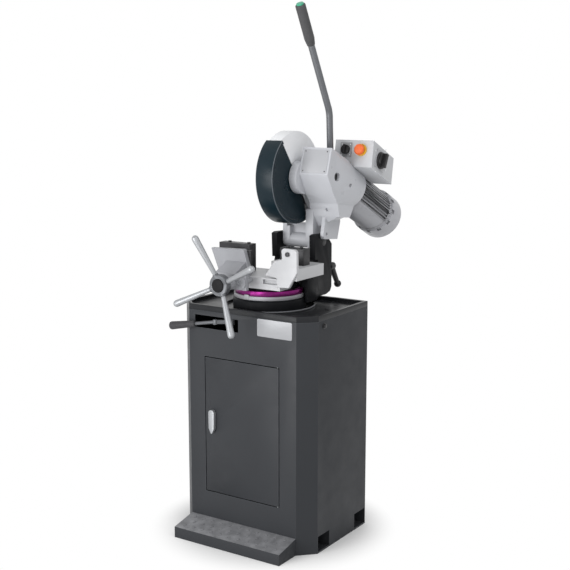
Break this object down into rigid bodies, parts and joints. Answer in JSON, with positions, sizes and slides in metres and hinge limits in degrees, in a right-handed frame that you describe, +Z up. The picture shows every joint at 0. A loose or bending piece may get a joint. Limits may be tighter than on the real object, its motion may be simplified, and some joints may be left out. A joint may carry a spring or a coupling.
{
  "type": "cold saw",
  "caption": "Floor-standing manual cold saw: cabinet with door, swivelling column, guarded blade on a lever-fed motor head, screw vise, foot step and control box.",
  "frame": {"origin": "on the floor, under the centre of the cabinet's plan", "axes": "+X to the operator's right, +Y from front to back, +Z up"},
  "size_m": [0.5968, 0.9522, 1.9086],
  "materials": {
    "cabinet_paint": "semi-gloss anthracite enamel",
    "black_paint": "black enamel on cast iron",
    "grey_casting": "light grey enamel on cast iron",
    "grey_sheet": "light grey enamel",
    "guard_paint": "dark blue-grey enamel",
    "motor_grey": "mid grey enamel on aluminium",
    "bright_steel": "turned steel",
    "dark_steel": "blackened steel",
    "blade_steel": "ground tool steel",
    "bronze": "turned bronze",
    "scale_anodised": "magenta anodised",
    "black_plastic": "moulded black plastic",
    "grip_rubber": "dark grey rubber",
    "box_plastic": "light grey moulded box",
    "stop_red": "orange-red plastic",
    "stop_yellow": "yellow plastic",
    "button_green": "green plastic",
    "plate_silver": "bare satin plate"
  },
  "bodies": {
    "stand": {"cabinet": "cabinet_paint", "tray": "cabinet_paint", "foot_step": "cabinet_paint", "rating_plate": "plate_silver", "door_brackets": "dark_steel", "base_casting": "black_paint", "base_bolts": "bright_steel", "lock_lever_post": "bright_steel", "vise_bed": "grey_casting", "fixed_jaw_left": "dark_steel", "fixed_jaw_right": "dark_steel", "jaw_bolts": "bright_steel", "end_plate": "grey_casting", "end_plate_bolts": "dark_steel", "vise_nut": "bronze"},
    "door": {"door": "cabinet_paint", "door_pins": "bright_steel"},
    "latch": {"latch_handle": "bright_steel", "latch_cam": "bright_steel"},
    "swivel": {"bearing_ring": "bright_steel", "scale_ring": "scale_anodised", "column": "black_paint", "pivot_bushes": "bronze"},
    "lock_handle": {"lock_handle": "black_plastic"},
    "lock_lever": {"lock_lever": "dark_steel", "lock_lever_grip": "grip_rubber"},
    "jaw": {"movable_jaw": "grey_casting", "jaw_face": "dark_steel", "guide_bar": "bright_steel"},
    "handwheel": {"vise_screw": "bright_steel", "handwheel_hub": "bright_steel", "handwheel_cap": "black_plastic", "handwheel_spokes": "bright_steel"},
    "head": {"head_casting": "grey_casting", "pivot_pin": "bright_steel", "front_plate": "plate_silver", "case_plugs": "dark_steel", "upper_guard": "grey_sheet", "motor_housing": "motor_grey", "fan_cover": "motor_grey", "control_box": "box_plastic", "switch_plate": "plate_silver", "main_switch_plate": "plate_silver", "emergency_collar": "stop_yellow", "feed_lever": "bright_steel", "lever_grip": "grip_rubber"},
    "lower_guard": {"lower_guard": "guard_paint"},
    "blade": {"blade": "blade_steel", "spindle": "bright_steel", "blade_flange": "bright_steel", "blade_bolt": "dark_steel"},
    "emergency_button": {"emergency_button": "stop_red"},
    "speed_switch": {"speed_switch": "black_plastic"},
    "main_switch": {"main_switch": "black_plastic"},
    "trigger": {"trigger_button": "button_green"}
  },
  "joints": [
    {"name": "door_hinge", "type": "hinge", "parent": "stand", "child": "door", "pos_m": [0.15, -0.19, 0.415], "axis": [0, 0, 1], "range_deg": [0, 110]},
    {"name": "door_latch", "type": "hinge", "parent": "door", "child": "latch", "pos_m": [-0.127, -0.1975, 0.431], "axis": [0, -1, 0], "range_deg": [0, 90]},
    {"name": "miter_swivel", "type": "hinge", "parent": "stand", "child": "swivel", "pos_m": [0, -0.02, 0.889], "axis": [0, 0, 1], "range_deg": [0, 45]},
    {"name": "miter_lock", "type": "hinge", "parent": "swivel", "child": "lock_handle", "pos_m": [0.096, 0.246, 0.9603], "axis": [0, 1, 0], "range_deg": [0, 60]},
    {"name": "swivel_lock_lever", "type": "hinge", "parent": "stand", "child": "lock_lever", "pos_m": [-0.06, -0.18, 0.795], "axis": [0, 0, 1], "range_deg": [0, 8]},
    {"name": "jaw_slide", "type": "slide", "parent": "stand", "child": "jaw", "axis": [0, 1, 0], "range_m": [-0.06, 0.048]},
    {"name": "handwheel_turn", "type": "hinge", "parent": "jaw", "child": "handwheel", "pos_m": [-0.036, -0.262, 0.95], "axis": [0, 1, 0], "range_deg": [-3600, 2880]},
    {"name": "head_pivot", "type": "hinge", "parent": "swivel", "child": "head", "pos_m": [0, 0.18, 1.062], "axis": [1, 0, 0], "range_deg": [0, 57], "stiffness_Nm_per_rad": 90, "springref_deg": -57.3},
    {"name": "guard_swing", "type": "hinge", "parent": "head", "child": "lower_guard", "pos_m": [0, 0.115, 1.3], "axis": [1, 0, 0], "range_deg": [-154, 0]},
    {"name": "blade_spin", "type": "hinge", "parent": "head", "child": "blade", "pos_m": [0, 0.115, 1.3], "axis": [1, 0, 0], "continuous": true},
    {"name": "emergency_push", "type": "slide", "parent": "head", "child": "emergency_button", "axis": [0, 0.986, -0.1668], "range_m": [0, 0.005], "stiffness_N_per_m": 400},
    {"name": "speed_select", "type": "hinge", "parent": "head", "child": "speed_switch", "pos_m": [0.158, 0.249, 1.3975], "axis": [0, -0.986, 0.1668], "range_deg": [0, 60]},
    {"name": "main_switch_turn", "type": "hinge", "parent": "head", "child": "main_switch", "pos_m": [0.27, 0.3018, 1.3582], "axis": [1, 0, 0], "range_deg": [0, 90]},
    {"name": "trigger_press", "type": "slide", "parent": "head", "child": "trigger", "axis": [0, 0.476, -0.8795], "range_m": [0, 0.004], "stiffness_N_per_m": 400}
  ],
  "couplings": [
    {"joint": "jaw_slide", "follows": "handwheel_turn", "m_per_rad": 0.00095493},
    {"joint": "guard_swing", "follows": "head_pivot", "ratio": -2.67}
  ]
}
